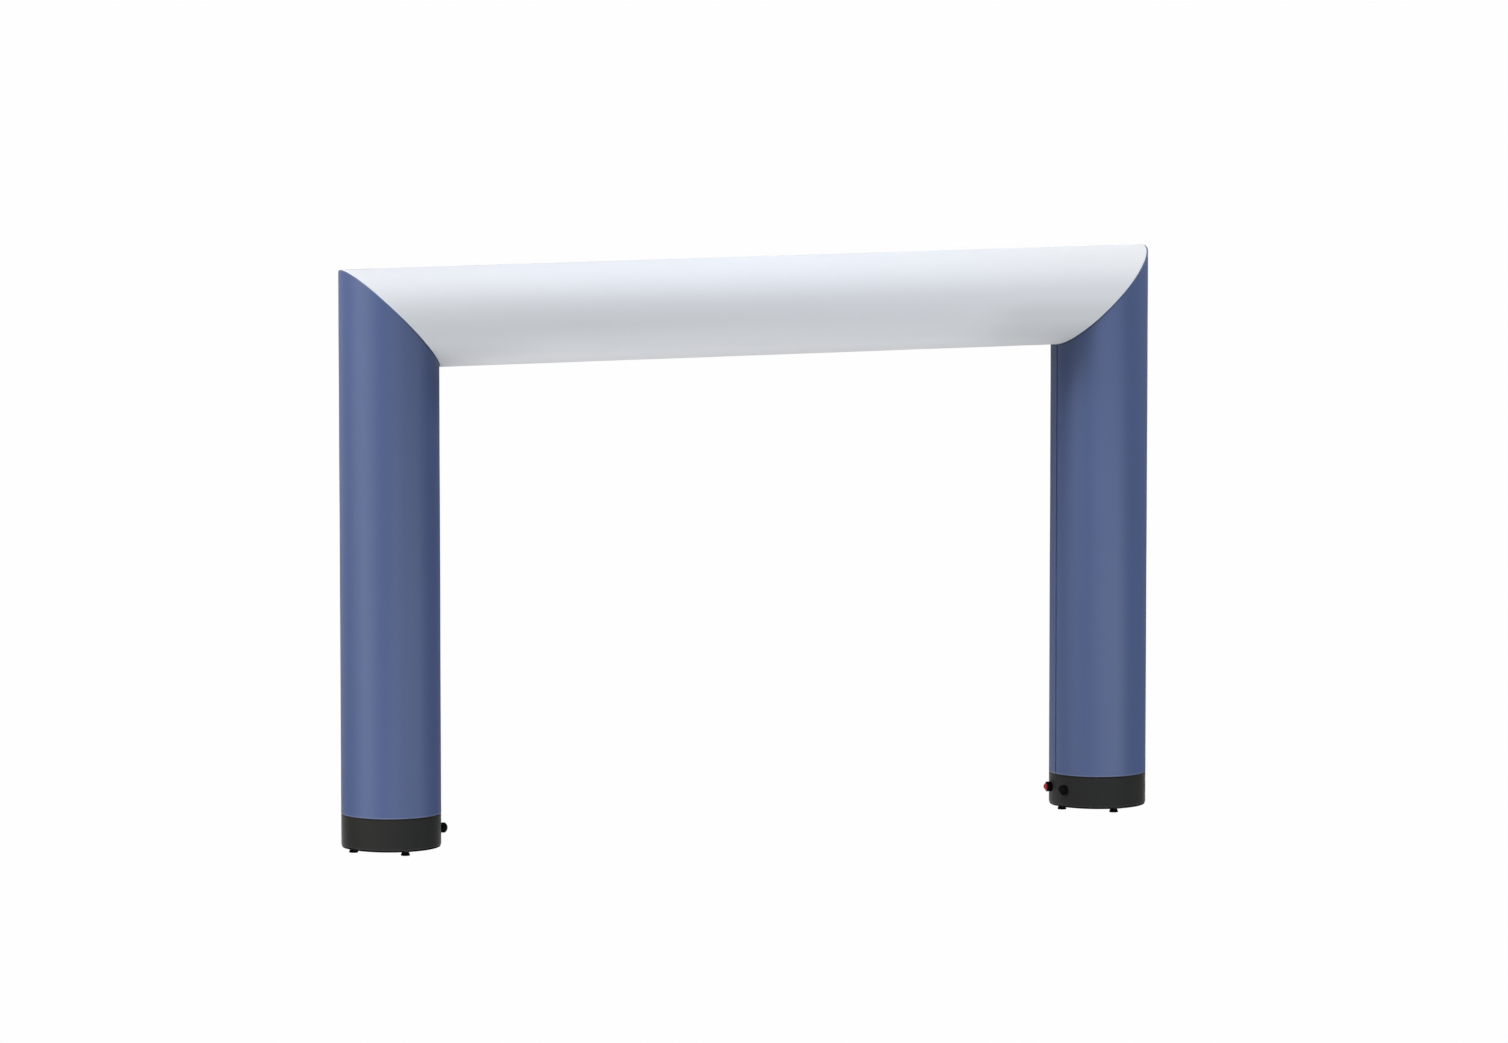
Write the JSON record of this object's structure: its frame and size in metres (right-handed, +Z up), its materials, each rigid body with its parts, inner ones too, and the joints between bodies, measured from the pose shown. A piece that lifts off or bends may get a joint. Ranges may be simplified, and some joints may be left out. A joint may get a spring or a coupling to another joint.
{
  "type": "inflatable arch",
  "caption": "Free-standing inflatable arch: blue air-filled legs and a white crossbar, mitred at the corners, on black base drums with rubber feet, domed valve caps and a relief button.",
  "frame": {"origin": "on the floor, midway between the two legs, under the middle of the crossbar", "axes": "+X along the crossbar from the left leg to the right leg, +Y from the front to the back, +Z up"},
  "size_m": [4.502, 0.512, 2.984],
  "materials": {
    "blue_cloth": "matt woven polyester, slate blue, smooth and tight over the air tube",
    "white_cloth": "matt woven polyester, cool white, smooth and tight over the air tube",
    "black_plastic": "satin moulded plastic, charcoal black",
    "black_fitting": "satin moulded plastic, deep black",
    "black_rubber": "matt rubber, black",
    "red_plastic": "smooth moulded plastic, red"
  },
  "bodies": {
    "arch": {"crossbar_sleeve": "white_cloth", "leg_sleeve_left": "blue_cloth", "leg_sleeve_right": "blue_cloth", "closing_strip_left": "blue_cloth", "closing_strip_right": "blue_cloth", "base_drum_left": "black_plastic", "base_drum_right": "black_plastic", "foot_left_front": "black_rubber", "foot_left_back": "black_rubber", "foot_left_inner": "black_rubber", "foot_left_outer": "black_rubber", "foot_right_front": "black_rubber", "foot_right_back": "black_rubber", "foot_right_inner": "black_rubber", "foot_right_outer": "black_rubber", "valve_collar_left": "black_fitting", "valve_collar_right": "black_fitting", "relief_housing_right": "black_fitting"},
    "cap_left": {"valve_cap_left": "black_fitting"},
    "cap_right": {"valve_cap_right": "black_fitting"},
    "button_right": {"relief_button_right": "red_plastic"}
  },
  "joints": [
    {"name": "cap_turn_left", "type": "hinge", "parent": "arch", "child": "cap_left", "pos_m": [-1.75811, -0.09571, 0.1155], "axis": [0.9272, -0.3746, 0], "range_deg": [0, 90]},
    {"name": "cap_turn_right", "type": "hinge", "parent": "arch", "child": "cap_right", "pos_m": [1.75811, -0.09571, 0.1155], "axis": [-0.9272, -0.3746, 0], "range_deg": [0, 90]},
    {"name": "button_press_right", "type": "slide", "parent": "arch", "child": "button_right", "axis": [0.9903, -0.1392, 0], "range_m": [0, 0.005], "stiffness_N_per_m": 500, "springref_m": -0.004}
  ]
}
